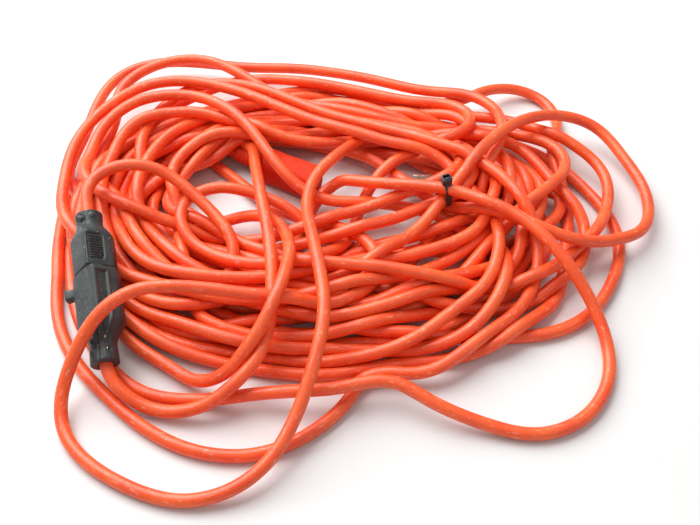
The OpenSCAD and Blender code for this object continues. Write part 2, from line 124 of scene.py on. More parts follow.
RIGHT_FRONT_LOOP = [(-14, 58, 20), (6, 47, 29), (28, 39, 35), (46, 33, 39.5), (66, 29, 40.4),
                    (92, 16, 42), (120, -4, 42), (144, -34, 34), (162, -60, 16), (169, -90, 5),
                    (161, -118, 4.3), (141, -140, 4.3), (112, -149, 4.3), (80, -142, 7),
                    (50, -132, 14), (22, -116, 18)]
RIGHT_LOOP = [(160, -6, 22), (186, 0, 18), (212, 16, 12), (221, 52, 10), (211, 88, 12),
              (192, 120, 18), (158, 122, 28), (122, 96, 42), (96, 70, 42), (76, 43, 34),
              (66, 29, 31.6), (56, 16, 29), (46, 4, 22)]
BACK_RIGHT_LOOP = [(84, 148, 18), (110, 166, 16), (138, 177, 8), (160, 166, 4.5), (167, 142, 5),
                   (160, 112, 12), (150, 90, 18)]
BACK_LEFT_LOOP = [(-186, 122, 20), (-190, 152, 24), (-174, 178, 26), (-146, 192, 27),
                  (-116, 190, 27), (-84, 170, 24), (-56, 148, 20)]
OUTLET_FACE, OUTLET_TURN = (-28, 62), math.radians(-28)
END_PLUG_FACE, END_PLUG_TURN = (62, 56), math.radians(180)
END_HEIGHT, END_BODY, END_SHOULDER, RELIEF = 23.5, 42, 6, 22
END_AXIS_HEIGHT = END_HEIGHT / 2


def from_face(face, turn, distance):
    return (face[0] - distance * math.cos(turn), face[1] - distance * math.sin(turn), END_AXIS_HEIGHT)


END_TOTAL = END_BODY + END_SHOULDER + RELIEF
OUTLET_LEAD = [(-122, 110, 13), (-100, 101, 12.5), from_face(OUTLET_FACE, OUTLET_TURN, END_TOTAL + 2),
               from_face(OUTLET_FACE, OUTLET_TURN, END_BODY)]
END_PLUG_LEAD = [from_face(END_PLUG_FACE, END_PLUG_TURN, END_BODY),
                 from_face(END_PLUG_FACE, END_PLUG_TURN, END_TOTAL + 2), (148, 55, 11), (166, 44, 10)]

# How strongly each kind of stretch is held to its route while the heap settles
HOLD = {"cad": 0.5, "seen": 0.12, "turn": 0.004}
FIXED_ABOVE, SEEN_ABOVE = 0.3, 0.05          # holds that tell these kinds from each other


def cad(*points):
    return ("cad", list(points))


def seen(*points):
    """A stretch that shows on top of the heap."""
    return ("seen", list(points))


def turn(lane, height, more=0, drift=0):
    """Part of a turn round the coil, plus whole turns: lane 0 is the coil's inner side and 1 its outer."""
    return ("turn", lane, height, more, drift)


# From the black plug, round the coil, to the outlet
LONG_CORD = [
    cad(*PLUG_LEAD),
    seen((-102, 16, 34), (-90, 4, 26), (-80, -14, 20), (-84, -36, 16), (-104, -50, 14),
         (-132, -46, 14), (-162, -16, 16), (-180, 22, 20)),
    seen((-184, 54, 24), (-182, 82, 26), (-174, 106, 28), (-156, 118, 30), (-134, 122, 30),
         (-106, 118, 30), (-84, 106, 30), (-54, 96, 28), (-26, 92, 26), (-2, 94, 22)),
    seen((60, 108, 18), (118, 100, 22), (134, 76, 24), (144, 58, 24), (156, 42, 22), (166, 22, 20),
         (166, 0, 18), (158, -22, 18), (144, -36, 16), (124, -50, 14)),
    turn(0.25, 18, 0, 0.1),
    seen((96, 66, 30), (78, 56, 30), (56, 46, 28), (34, 39, 24), (8, 30, 18), (-20, 22, 15)),
    turn(0.4, 18),
    seen((-196, 54, 28), (-196, 96, 30), (-184, 116, 34), (-166, 132, 36), (-142, 134, 38),
         (-118, 132, 38), (-98, 118, 38), (-78, 96, 38), (-64, 72, 36), (-50, 54, 31), (-38, 43, 25),
         (-24, 38, 20), (-6, 36, 18), (16, 38, 17), (44, 33, 15), (70, 22, 13), (90, 4, 13),
         (92, -20, 13), (76, -44, 13)),
    turn(0.35, 14, 0, 0.1),
    seen((98, 50, 30), (78, 38, 28), (52, 27, 24), (22, 16, 18), (-10, 8, 14), (-40, 0, 12)),
    turn(0.6, 14),
    seen((-210, 114, 14), (-210, 136, 14), (-206, 162, 14), (-198, 184, 14), (-180, 200, 14),
         (-156, 206, 14), (-126, 204, 14), (-88, 198, 14), (-60, 198, 14), (-28, 193, 15),
         (18, 180, 16), (54, 164, 18), (94, 158, 18), (108, 148, 20), (114, 132, 24),
         (116, 114, 28), (114, 92, 28), (106, 76, 26), (96, 58, 22), (90, 46, 18)),
    turn(0.95, 20, 1, -0.5),
    seen((-210, 18, 24), (-214, 68, 26), (-210, 98, 28), (-202, 114, 30), (-186, 132, 34),
         (-166, 148, 36), (-138, 154, 36), (-116, 150, 36), (-84, 138, 36), (-54, 120, 36),
         (-26, 104, 36), (2, 94, 36), (28, 84, 33), (58, 78, 30), (80, 60, 26), (96, 26, 24),
         (104, 2, 24), (102, -16, 24), (92, -40, 22), (70, -62, 22), (50, -80, 22), (30, -96, 22)),
    turn(0.8, 16, 1, -0.3),
    cad(*BACK_LEFT_LOOP),
    seen((-20, 134, 26), (22, 122, 24), (60, 114, 20), (100, 114, 20), (124, 106, 22),
         (138, 100, 24), (154, 92, 24), (163, 88, 24), (164, 74, 24), (158, 60, 26), (142, 42, 28),
         (128, 28, 28), (114, 14, 22), (96, -4, 18)),
    seen((70, -36, 14), (44, -52, 12), (18, -62, 10), (-10, -60, 9), (-34, -46, 8), (-44, -22, 8),
         (-40, 6, 8), (-32, 32, 9), (-24, 50, 14)),
    cad(*RIGHT_FRONT_LOOP),
    seen((-5, -125, 20), (-30, -125, 18), (-62, -125, 14), (-90, -124, 5), (-114, -123, 4.3),
         (-136, -119, 4.3), (-151, -106, 4.3), (-164, -94, 4.3), (-186, -62, 4.5)),
    turn(0.7, 8),
    seen((-30, 106, 16), (4, 94, 15), (30, 72, 16), (50, 46, 18), (75, 25, 23), (105, 18, 28),
         (125, 6, 30), (140, -2, 28)),
    cad(*RIGHT_LOOP),
    seen((28, -10, 20), (8, -24, 20), (-14, -38, 18)),
    turn(0.35, 12),
    seen((-134, 152, 30), (-110, 158, 30), (-80, 154, 30), (-50, 136, 32), (-20, 118, 32),
         (18, 104, 32), (58, 86, 34), (88, 64, 34), (110, 48, 32), (124, 22, 28), (130, -6, 24),
         (126, -32, 18), (116, -56, 16), (94, -76, 16), (74, -92, 16), (48, -110, 14), (28, -108, 10)),
    cad(*OUTER_FRONT_LOOP),
    turn(0.9, 8),
    seen((-160, 130, 10), (-134, 122, 6), (-114, 96, 5), (-88, 72, 5), (-66, 46, 8), (-36, 24, 10),
         (-6, 12, 12), (16, -4, 14), (20, -28, 16), (4, -50, 18)),
    cad(*FRONT_LEFT_LOOP),
    turn(0.5, 12),
    seen((104, 34, 22), (82, 20, 18), (52, 8, 15), (20, -1, 12), (-14, -6, 10)),
    turn(0.6, 12, 1, 0.15),
    seen((-138, 38, 18), (-136, 66, 22), (-124, 90, 24), (-104, 102, 26), (-76, 106, 26), (-54, 102, 22)),
    seen((60, 128, 12), (146, 96, 10), (166, 76, 8), (180, 58, 5), (190, 38, 4.3), (194, 14, 4.3),
         (190, -10, 4.3), (178, -34, 4.3), (166, -52, 4.3), (150, -64, 4.3), (134, -72, 5),
         (100, -78, 8), (64, -82, 12)),
    turn(0.15, 8, 1, 0.3),
    cad(*OUTLET_LEAD)]

# From the hidden plug, round the coil, to the black connector
SHORT_CORD = [
    cad(*END_PLUG_LEAD),
    turn(0.35, 8, 1, 0.5),
    seen((-134, 160, 14), (-94, 174, 20), (-72, 176, 20), (-28, 170, 20), (18, 154, 22),
         (54, 140, 24), (68, 138, 26), (84, 132, 28), (96, 122, 30), (100, 110, 32), (94, 100, 34),
         (80, 92, 34), (62, 88, 32), (40, 78, 26), (20, 62, 20), (6, 40, 14), (0, 14, 12), (-10, -12, 12)),
    turn(0.75, 16, 1, -0.3),
    cad(*BACK_RIGHT_LOOP),
    turn(0.85, 14),
    seen((60, 140, 14), (120, 128, 18), (138, 120, 18), (152, 110, 18), (166, 102, 18),
         (178, 94, 16), (190, 78, 14), (192, 56, 14), (186, 32, 14), (176, 12, 16), (160, -8, 20),
         (142, -24, 20), (120, -40, 18)),
    turn(0.05, 24),
    seen((-60, -30, 24), (-80, -26, 24), (-100, -16, 22), (-116, -4, 22), (-126, 8, 28),
         (-130, 20, 32), (-120, 30, 36), (-98, 36, 36), (-78, 34, 34), (-56, 30, 28), (-40, 24, 18),
         (-22, 14, 11), (4, 0, 8), (24, -20, 6), (26, -46, 6), (4, -66, 6), (-30, -76, 6)),
    turn(0.55, 8, 1, -0.3),
    seen((-112, -72, 8), (-140, -46, 6), (-147, -18, 6), (-132, 8, 6), (-106, 21, 8), (-82, 26, 14),
         (-66, 21, 22), (-54, 8, 29), (-44, -14, 36), (-42, -38, 44), (-46, -62, 48), (-54, -85, 44),
         (-63, -101, 34), (-85, -119, 18), (-98, -119, 12), (-106, -108, 8), (-133, -92, 8),
         (-156, -76, 10)),
    turn(0.3, 16),
    seen((106, 16, 26), (84, 0, 24), (56, -12, 22), (26, -20, 20), (-8, -24, 18)),
    turn(0.6, 16),
    seen((-84, 108, 12), (-78, 88, 20), (-72, 62, 30), (-68, 36, 36), (-63, 12, 40), (-58, -12, 42),
         (-54, -42, 42), (-52, -70, 42), (-53, -92, 38)),
    cad(*CONNECTOR_LEAD)]

# ---- laying the cord in its heap

# How the heap settles: rounds and shares of a round's correction; lengths in millimetres
ROUNDS, QUICK_ROUNDS = 600, 120
FIRST_GAP, CLEARANCE = 3, 0.1                # strands start this near; the air left between them
GAP_GROWN = 0.55                             # share of the rounds by which the gap has grown full
BENDING, STRETCHING = 0.36, 0.9
MOST_PUSH, PUSHING = 2.0, 1.6
DEEP, LIFTING = 4, 1.5                       # strands nearer than this pass over or under each other
FALL, FALL_LATE = 0.12, 0.015                # drop in each round, while falling and otherwise
FALL_FROM, FALL_UNTIL = 0.12, 0.5
ALONG_RAY = 0.06                             # pull to the route along the camera's ray
SMOOTHED = 9                                 # passes over sharp bends at the end
SHARP_FROM, SHARP_SPAN = 1.3, 0.8

# The coil's outer and inner ovals: middle and half lengths
OUTER_OVAL = np.array([-18.0, 27.0]), np.array([202.0, 151.0])
INNER_OVAL = np.array([-40.0, 60.0]), np.array([94.0, 38.0])
ANGLES = np.linspace(-math.pi, math.pi, 721)[:-1]
EASE = 1.0               # angle over which a turn leaves its neighbour and finds its lane
TURN_RADIUS = 170        # the coil's usual radius, for counting a turn's points


def lengths(rows):
    return np.linalg.norm(rows, axis=1)


def in_lane(angle, lane):
    """The place in the plan at an angle round the coil, from its inner oval at 0 to its outer at 1."""
    way = np.stack([np.cos(angle), np.sin(angle)], -1)
    inner, outer = (mid + half * way for mid, half in (INNER_OVAL, OUTER_OVAL))
    lane = np.asarray(lane)[..., None]
    return inner * (1 - lane) + outer * lane


def lane_of(point):
    """The angle and the lane of a place in the plan."""
    inner, outer = in_lane(ANGLES, np.zeros(len(ANGLES))), in_lane(ANGLES, np.ones(len(ANGLES)))
    across, place = outer - inner, np.array(point[:2])
    lane = np.clip(((place - inner) * across).sum(1) / (across ** 2).sum(1), -0.8, 1.3)
    best = int(np.argmin(lengths(inner + lane[:, None] * across - place)))
    return ANGLES[best], float(lane[best])


def ease(t):
    t = np.clip(t, 0, 1)
    return t * t * (3 - 2 * t)


def go_round(start, end, lane, height, more, drift, wave):
    """Points clockwise round the coil from start to end, with more whole turns on the way."""
    angle_0, lane_0 = lane_of(start)
    angle_1, lane_1 = lane_of(end)
    arc = (angle_0 - angle_1) % (2 * math.pi) + 2 * math.pi * more
    count = max(4, int(arc * TURN_RADIUS / STEP))
    turned = np.arange(1, count) / count * arc
    from_start, to_end = 1 - ease(turned / EASE), 1 - ease((arc - turned) / EASE)
    total = np.maximum(from_start + to_end, 1)
    from_start, to_end = from_start / total, to_end / total
    middle = 1 - from_start - to_end
    wander = 0.07 * np.sin(1.37 * turned + wave) + 0.05 * np.sin(2.6 * turned + 2.1 * wave)
    lanes = from_start * lane_0 + to_end * lane_1 + middle * (lane + drift * turned / arc + wander)
    heights = from_start * start[2] + to_end * end[2] + middle * height
    return np.column_stack([in_lane(angle_0 - turned, lanes), heights])


def whole_route(parts, wave):
    """All the points of one cord, and how strongly each is held."""
    points, hold = [], []
    for i, part in enumerate(parts):
        if part[0] == "turn":
            stretch = go_round(points[-1], parts[i + 1][1][0], *part[1:], wave + i * 1.7)
        else:
            stretch = part[1]
        points += [tuple(p) for p in stretch]
        hold += [HOLD[part[0]]] * len(stretch)
    return np.array(points, float), np.array(hold)


def curve_through(p, per_gap):
    """Points on a smooth curve through all of p."""
    a = np.vstack([2 * p[0] - p[1], p, 2 * p[-1] - p[-2]])
    t = np.linspace(0, 1, per_gap, endpoint=False)[None, :, None]
    p0, p1, p2, p3 = (a[k:len(a) - 3 + k, None] for k in range(4))
    curve = 0.5 * (2 * p1 + (p2 - p0) * t + (2 * p0 - 5 * p1 + 4 * p2 - p3) * t ** 2
                   + (3 * p1 - p0 - 3 * p2 + p3) * t ** 3)
    return np.vstack([curve.reshape(-1, 3), p[-1:]])


def even_steps(p, hold, step):
    """The same route with points an even step apart, and their holds."""
    per_gap = 12
    fine = curve_through(p, per_gap)
    gap = np.repeat(np.arange(len(p) - 1), per_gap)
    inside = np.tile(np.arange(per_gap) > 0, len(p) - 1)
    fine_hold = np.append(np.where(inside, np.minimum(hold[gap], hold[gap + 1]), hold[gap]), hold[-1])
    run = np.append(0, np.cumsum(lengths(np.diff(fine, axis=0))))
    at = np.linspace(0, run[-1], int(round(run[-1] / step)) + 1)
    return np.column_stack([np.interp(at, run, fine[:, k]) for k in range(3)]), np.interp(at, run, fine_hold)


def stiff_parts():
    """The black pair, with its plug's way out, and the two moulded ends as capsules: two ends of
    a line and a radius."""
    out = [(SEAM - 40 * AXIS, SEAM + (27 + PLUG_TRAVEL) * AXIS, 17.0),
           (SEAM - 55 * AXIS, SEAM + (36 + PLUG_TRAVEL) * AXIS, 13.0),
           (SEAM - 68 * AXIS, SEAM + (46.4 + PLUG_TRAVEL) * AXIS, 9.3)]
    for face, angle, nose in ((OUTLET_FACE, OUTLET_TURN, 3), (END_PLUG_FACE, END_PLUG_TURN, -16)):
        for near, far, radius in ((9, 36, 12.5), (36, 68, 6.5), (nose, 9, 10.0)):
            ends = [np.array(from_face(face, angle, distance)) for distance in (near, far)]
            out.append((*ends, radius))
    return out


def closest_places(p1, q1, p2, q2):
    """How far along each of two lines their nearest points lie, from 0 to 1."""
    d1, d2, r = q1 - p1, q2 - p2, p1 - p2
    a, e, f = (d1 * d1).sum(1), (d2 * d2).sum(1), (d2 * r).sum(1)
    c, b = (d1 * r).sum(1), (d1 * d2).sum(1)
    square = a * e - b * b
    s = np.clip(np.where(square > 1e-6, (b * f - c * e) / np.maximum(square, 1e-6), 0.5), 0, 1)
    t = np.clip((b * s + f) / e, 0, 1)
    return np.clip((b * t - c) / a, 0, 1), t


def near_pairs(points, cord, reach):
    """Pairs of cord pieces whose middles are nearer than reach, without a piece's own neighbours."""
    whole = np.nonzero(cord[:-1] == cord[1:])[0]
    middle = (0.5 * (points[:-1] + points[1:]))[whole].astype(np.float32)
    first, second = [], []
    block = 400
    for k in range(0, len(middle), block):
        gap = ((middle[k:k + block, None] - middle[None]) ** 2).sum(2)
        i, j = np.nonzero(gap < reach * reach)
        i += k
        later = j > i
        first.append(whole[i[later]])
        second.append(whole[j[later]])
    first, second = np.concatenate(first), np.concatenate(second)
    apart = (cord[first] != cord[second]) | (np.abs(first - second) > 3)
    return first[apart], second[apart]


def press_apart(points, target, loose, pairs, gap):
    """Moves touching pieces of cord apart until they are a gap from each other."""
    i, j = pairs
    s, t = closest_places(points[i], points[i + 1], points[j], points[j + 1])
    apart = (points[i] + s[:, None] * (points[i + 1] - points[i])
             - points[j] - t[:, None] * (points[j + 1] - points[j]))
    length = lengths(apart)
    hit = length < gap
    if not hit.any():
        return
    i, j, s, t, apart, length = i[hit], j[hit], s[hit], t[hit], apart[hit], length[hit]
    # Pieces that run into each other part upwards and downwards, in the order they already have
    rise = apart[:, 2]
    order = np.where(np.abs(rise) > 0.3, np.sign(rise), np.where(target[i, 2] >= target[j, 2], 1.0, -1.0))
    deep = length < DEEP
    apart[deep, 2] += (order * (DEEP - length))[deep] * LIFTING
    way = apart / np.maximum(lengths(apart), 1e-6)[:, None]
    push = np.minimum(gap - length, MOST_PUSH)[:, None] * way * PUSHING
    loose_i, loose_j = loose[i][:, None], loose[j][:, None]
    push_i, push_j = push * loose_i / (loose_i + loose_j), -push * loose_j / (loose_i + loose_j)
    ends = np.concatenate([i, i + 1, j, j + 1])
    share = np.concatenate([1 - s, s, 1 - t, t])
    moves = np.concatenate([push_i, push_i, push_j, push_j]) * share[:, None]
    total = np.maximum(np.bincount(ends, share, len(points)), 1)
    points += np.column_stack([np.bincount(ends, moves[:, k], len(points)) / total for k in range(3)])


def settle(points, hold, cord, rounds):
    """Lets the cords come to rest on each other: they keep their length, resist bending, fall,
    and stay a diameter apart, above the floor and outside the stiff parts."""
    target, parts = points.copy(), stiff_parts()
    rest = lengths(np.diff(points, axis=0))
    joined = cord[:-1] == cord[1:]
    bends = joined[:-1] & joined[1:]
    loose = np.where(hold > FIXED_ABOVE, 0.15, np.where(hold > SEEN_ABOVE, 0.6, 1.0))
    free = hold < FIXED_ABOVE
    for k in range(rounds):
        done = k / rounds
        gap = FIRST_GAP + (CORD_D + CLEARANCE - FIRST_GAP) * min(1, done / GAP_GROWN)
        if k % 8 == 0:
            pairs = near_pairs(points, cord, STEP + CORD_D + 6)
        points[:, 2] -= (FALL if FALL_FROM < done < FALL_UNTIL else FALL_LATE) * loose
        # A held stretch may slide towards the camera or away from it, which doesn't show
        off, ray = target - points, points - EYE
        ray /= lengths(ray)[:, None]
        along = (off * ray).sum(1)[:, None] * ray
        points += hold[:, None] * ((off - along) * (1 if done < 0.8 else 0.6) + ALONG_RAY * along)
        bend = BENDING * (0.5 * (points[:-2] + points[2:]) - points[1:-1])
        bend[~bends] = 0
        points[1:-1] += bend * loose[1:-1, None]
        points[:-2] -= 0.5 * bend * loose[:-2, None]
        points[2:] -= 0.5 * bend * loose[2:, None]
        for odd in (0, 1):
            i = np.nonzero(joined)[0]
            i = i[i % 2 == odd]
            span = points[i + 1] - points[i]
            length = lengths(span)
            fix = ((length - rest[i]) / np.maximum(length, 1e-6))[:, None] * span * STRETCHING
            share = (loose[i] / (loose[i] + loose[i + 1]))[:, None]
            points[i] += fix * share
            points[i + 1] -= fix * (1 - share)
        press_apart(points, target, loose, pairs, gap)
        for start, end, radius in parts:
            line = end - start
            t = np.clip(((points - start) @ line) / (line @ line), 0, 1)
            out = points - start - t[:, None] * line
            length = lengths(out)
            hit = (length < radius + CORD_R) & free
            step = np.minimum(radius + CORD_R - length[hit], 1.5) / np.maximum(length[hit], 1e-6)
            points[hit] += out[hit] * step[:, None]
        points[:, 2] = np.maximum(points[:, 2], CORD_R)
    # A last pass over the few bends that came out sharper than such a cord takes
    for _ in range(SMOOTHED):
        bend = 0.5 * (points[:-2] + points[2:]) - points[1:-1]
        sharp = np.clip((lengths(bend) - SHARP_FROM) / SHARP_SPAN, 0, 1) * bends * free[1:-1]
        points[1:-1] += 0.45 * sharp[:, None] * bend
    return points


def lay_cords(rounds):
    """The centrelines of the two cords, in millimetres, with even steps."""
    points, hold, cord = [], [], []
    for k, (parts, wave) in enumerate(((LONG_CORD, 0.4), (SHORT_CORD, 2.3))):
        p, h = even_steps(*whole_route(parts, wave), STEP)
        for _ in range(30):
            bend = 0.5 * (p[:-2] + p[2:]) - p[1:-1]
            p[1:-1] += 0.5 * bend * np.where(h[1:-1] > SEEN_ABOVE, 0.05, 1.0)[:, None]
        p, h = even_steps(p, h, STEP)
        points.append(p)
        hold.append(h)
        cord += [k] * len(p)
    hold, cord = np.concatenate(hold), np.array(cord)
    settled = settle(np.vstack(points), hold, cord, rounds)
    paths = [even_steps(settled[cord == k], hold[cord == k], CORD_SPACING)[0] for k in (0, 1)]
    for path in paths:
        path[:, 2] = np.maximum(path[:, 2], CORD_R)
    return paths


# ---- skins

def loft(rings, closed=False):
    """A skin through rings of points: its ends are closed by fans, or joined to each other."""
    rings = np.asarray(rings, float)
    count, sides = rings.shape[:2]
    index = np.arange(count * sides).reshape(count, sides)
    here, there = (index, np.roll(index, -1, 0)) if closed else (index[:-1], index[1:])
    faces = np.stack([here, np.roll(here, -1, 1), np.roll(there, -1, 1), there], -1).reshape(-1, 4).tolist()
    points = rings.reshape(-1, 3)
    if not closed:
        for ring in (index[0], index[-1]):
            middle = len(points)
            points = np.vstack([points, points[ring].mean(0)])
            faces += [(ring[k], ring[(k + 1) % sides], middle) for k in range(sides)]
    return points, faces


def make(name, skins, place=Matrix.Identity(4), crease=38):
    """One mesh of several closed skins given in millimetres, set in the shared frame by place."""
    points, faces, first = [], [], 0
    for p, f in skins:
        points.append(p)
        faces += [tuple(int(k) + first for k in face) for face in f]
        first += len(p)
    data = bpy.data.meshes.new(name)
    data.from_pydata((np.vstack(points) * MM).tolist(), [], faces)
    data.transform(place)
    mesh = bmesh.new()
    mesh.from_mesh(data)
    bmesh.ops.recalc_face_normals(mesh, faces=mesh.faces)
    mesh.to_mesh(data)
    mesh.free()
    data.shade_smooth()
    data.set_sharp_from_angle(angle=math.radians(crease))
    return add_object(name, data)


def at(point, *turns):
    """A place in the shared frame: a point in millimetres, then turns of (degrees, axis), outer first."""
    place = Matrix.Translation(Vector(point) * MM)
    for degrees, axis in turns:
        place = place @ Matrix.Rotation(math.radians(degrees), 4, axis)
    return place


def round_angles(count):
    return np.linspace(0, 2 * math.pi, count, endpoint=False)


def level_rings(levels, angle):
    """Level rings from pairs of a height and a radius by angle."""
    return [np.column_stack([r * np.cos(angle), r * np.sin(angle), np.full(len(angle), z)])
            for z, r in levels]


def smooth_step(x, low, high):
    return ease((np.asarray(x, float) - low) / (high - low))


# ---- cords

def rings_along(path, radius, angle):
    """Rings of points round a line, without twist."""
    tangent = np.gradient(path, axis=0)
    tangent /= lengths(tangent)[:, None]
    normal = np.cross(tangent[0], [0.0, 0.0, 1.0])
    normals = []
    for t in tangent:
        normal = normal - (normal @ t) * t
        normal /= np.linalg.norm(normal)
        normals.append(normal)
    normals = np.array(normals)
    other = np.cross(tangent, normals)
    around = np.cos(angle)[:, None] * normals[:, None] + np.sin(angle)[:, None] * other[:, None]
    return path[:, None] + radius * around


def cord_rings(path):
    """The rings of a cord along its centreline, and the cord's own coordinates on them."""
    angle = np.arange(CORD_SIDES) / CORD_SIDES * 2 * math.pi
    run = np.append(0, np.cumsum(lengths(np.diff(path, axis=0))))
    own = np.empty((len(path), CORD_SIDES, 3))
    own[..., 0] = run[:, None]
    own[..., 1] = CORD_R * np.cos(angle)
    own[..., 2] = CORD_R * np.sin(angle)
    return rings_along(path, CORD_R, angle), own


def make_cord(name, rings, own):
    obj = make(name, [loft(rings)], crease=60)
    ends = np.stack([own[0].mean(0), own[-1].mean(0)])
    values = np.vstack([own.reshape(-1, 3), ends])
    attribute = obj.data.attributes.new("lay", "FLOAT_VECTOR", "POINT")
    attribute.data.foreach_set("vector", values.astype(np.float32).ravel())
    return obj


LEAD_END = PLUG_LEAD[-1]                     # where the plug's lead joins the heap


def add_cords():
    long_path, short_path = lay_cords(ROUNDS)
    split = int(np.argmin(lengths(long_path[:60] - LEAD_END)))
    rings, own = cord_rings(long_path)
    lead = make_cord("plug_lead_cord", rings[:split + 1], own[:split + 1])
    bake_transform(lead)
    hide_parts("plug_lead")

    long_cord = make_cord("long_cord", rings[split:], own[split:])
    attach(long_cord, "heap")
    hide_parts("main_coil", "front_left_loop", "outer_front_loop", "right_front_loop",
                "right_loop", "back_left_loop", "outlet_lead")

    rings, own = cord_rings(short_path)
    short_cord = make_cord("short_cord", rings, own)
    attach(short_cord, "heap")
    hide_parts("back_right_loop", "connector_lead", "end_plug_lead")
    return [lead, long_cord, short_cord]


# ---- black plug and connector

TABLE_ANGLES = np.linspace(-math.pi, math.pi, 1441)
SHELL_WALL = 2.0
NECK_R = 9.2
NECK_BORE_R = 4.45
FACE_GAP = 0.4           # between the mating faces
SEAM_GAP = 0.12          # on each side of the seam between the halves
# Sections: half width, height of the ridge and depth of the base
PLUG_HALF, PLUG_RIDGE, PLUG_BASE = 13.9, 15.8, 14.5
CONNECTOR_HALF, CONNECTOR_RIDGE, CONNECTOR_BASE = 14.9, 16.8, 15.1
CONNECTOR_LEAN = 3.0     # how far its ridge stands to one side
# Distances from the mating face: the body's end, the neck's start and the neck's end
PLUG_ENDS, CONNECTOR_ENDS = (26, 34, 44.5), (37, 51, 65)
# Screws, as distance from the mating face and height across the seam
PLUG_SCREWS = [(40, 6.9), (40, -6.9)]
CONNECTOR_SCREWS = [(58, 6.9), (58, -6.9), (50, -7.6)]


def in_pair():
    """The place of the mated pair: +Z from connector to plug, -Y the ridge, turned up to the viewer."""
    return at(SEAM, (13, "Z"), (-77, "X"), (-10, "Z"))


def in_connector():
    """The same place with +Z from the plug to the connector."""
    return in_pair() @ Matrix.Diagonal((1, 1, -1, 1))


def house(half, ridge, base, soften=4.0):
    """Radius by angle of the pair's section: a roof, two sides and a narrower base, with eased corners."""
    corners = np.array([(0, -ridge), (half, -2.5), (half, 6), (half - 6.5, base), (6.5 - half, base),
                        (-half, 6), (-half, -2.5)], float)
    following = np.roll(corners, -1, 0)
    t = np.linspace(0, 1, 200, endpoint=False)[None, :, None]
    edge = (corners[:, None] + t * (following - corners)[:, None]).reshape(-1, 2)
    angle = np.arctan2(edge[:, 1], edge[:, 0])
    order = np.argsort(angle)
    radius = np.interp(TABLE_ANGLES[:-1], angle[order], np.hypot(*edge[order].T), period=2 * math.pi)
    reach = np.radians(np.arange(-16, 16.01, 0.25))
    weight = np.exp(-0.5 * (reach / math.radians(soften)) ** 2)
    weight /= weight.sum()
    pad = len(weight) // 2
    wrapped = np.concatenate([radius[-pad:], radius, radius[:pad]])
    smoothed = np.convolve(wrapped, weight, "valid")
    return lambda a: np.interp(a, TABLE_ANGLES[:-1], smoothed, period=2 * math.pi)


def rounded_inset(p, q, half_p, half_q, corner, edge):
    """1 well inside a rounded rectangle about the origin and 0 outside it, with an eased edge."""
    dp, dq = np.abs(p) - half_p + corner, np.abs(q) - half_q + corner
    out = np.hypot(np.maximum(dp, 0), np.maximum(dq, 0)) + np.minimum(np.maximum(dp, dq), 0) - corner
    return smooth_step(-out, 0, edge)


def down_slope(x, y, half, ridge):
    """Distance down the roof from its ridge, on either side."""
    run, fall = half, ridge - 2.5
    return (np.abs(x) * run + (y + ridge) * fall) / math.hypot(run, fall)


def plug_relief(x, y, z, side):
    """Heights and hollows on the plug's skin."""
    u = down_slope(x, y, PLUG_HALF, PLUG_RIDGE)
    roof = smooth_step(-y, 1.0, 3.0)
    height = np.zeros_like(x)
    if side > 0:
        # The finger grip's sunk panel with its ridges, and a fine line beside the roof's ridge
        panel = rounded_inset(u - 8.0, z - 14.8, 6.2, 10.4, 3.2, 0.8) * roof
        wave = z + 0.14 * np.sin(u * 1.7) + 0.1 * np.sin(u * 3.9 + z)
        ridges = 0.5 + 0.5 * np.cos(2 * math.pi * (wave - 6.5) / 1.95)
        in_ridges = rounded_inset(u - 8.3, z - 14.0, 5.4, 8.8, 0.8, 0.5)
        height += panel * (-1.35 + 1.15 * ridges * in_ridges)
        on_body = smooth_step(z, 2, 4) * (1 - smooth_step(z, 28, 31))
        height -= 0.16 * np.exp(-((u - 1.3) / 0.22) ** 2) * on_body * roof
    # A round boss near the neck
    boss = np.hypot(x + 2.4, z - 38.5) + np.where(y < 0, 0, 9)
    height += 1.7 * np.sqrt(np.clip(1 - (boss / 1.9) ** 2, 0, 1))
    height -= 0.4 * np.exp(-((boss - 2.7) / 0.45) ** 2)
    return height - 0.25 * np.exp(-(z / 0.5) ** 2)


def connector_relief(x, y, z, side):
    """Heights and hollows on the connector's skin."""
    u = down_slope(x, y, CONNECTOR_HALF, CONNECTOR_RIDGE)
    roof = smooth_step(-y, 0.5, 2.5)
    height = np.zeros_like(x)
    if side > 0:
        # A long sunk panel with a rim, narrowing towards the neck
        width = np.where(z < 30, 4.6, 4.6 * np.sqrt(np.clip((47 - z) / 17, 0, 1)))
        edge = np.maximum(np.abs(u - 7.8 - 0.04 * np.maximum(z - 20, 0)) - width, 3.6 - z)
        height -= 1.05 * smooth_step(-edge, 0, 1.1) * roof
        height += 0.3 * np.exp(-((edge - 0.7) / 0.6) ** 2) * roof
    return height - 0.22 * np.exp(-(z / 0.5) ** 2)


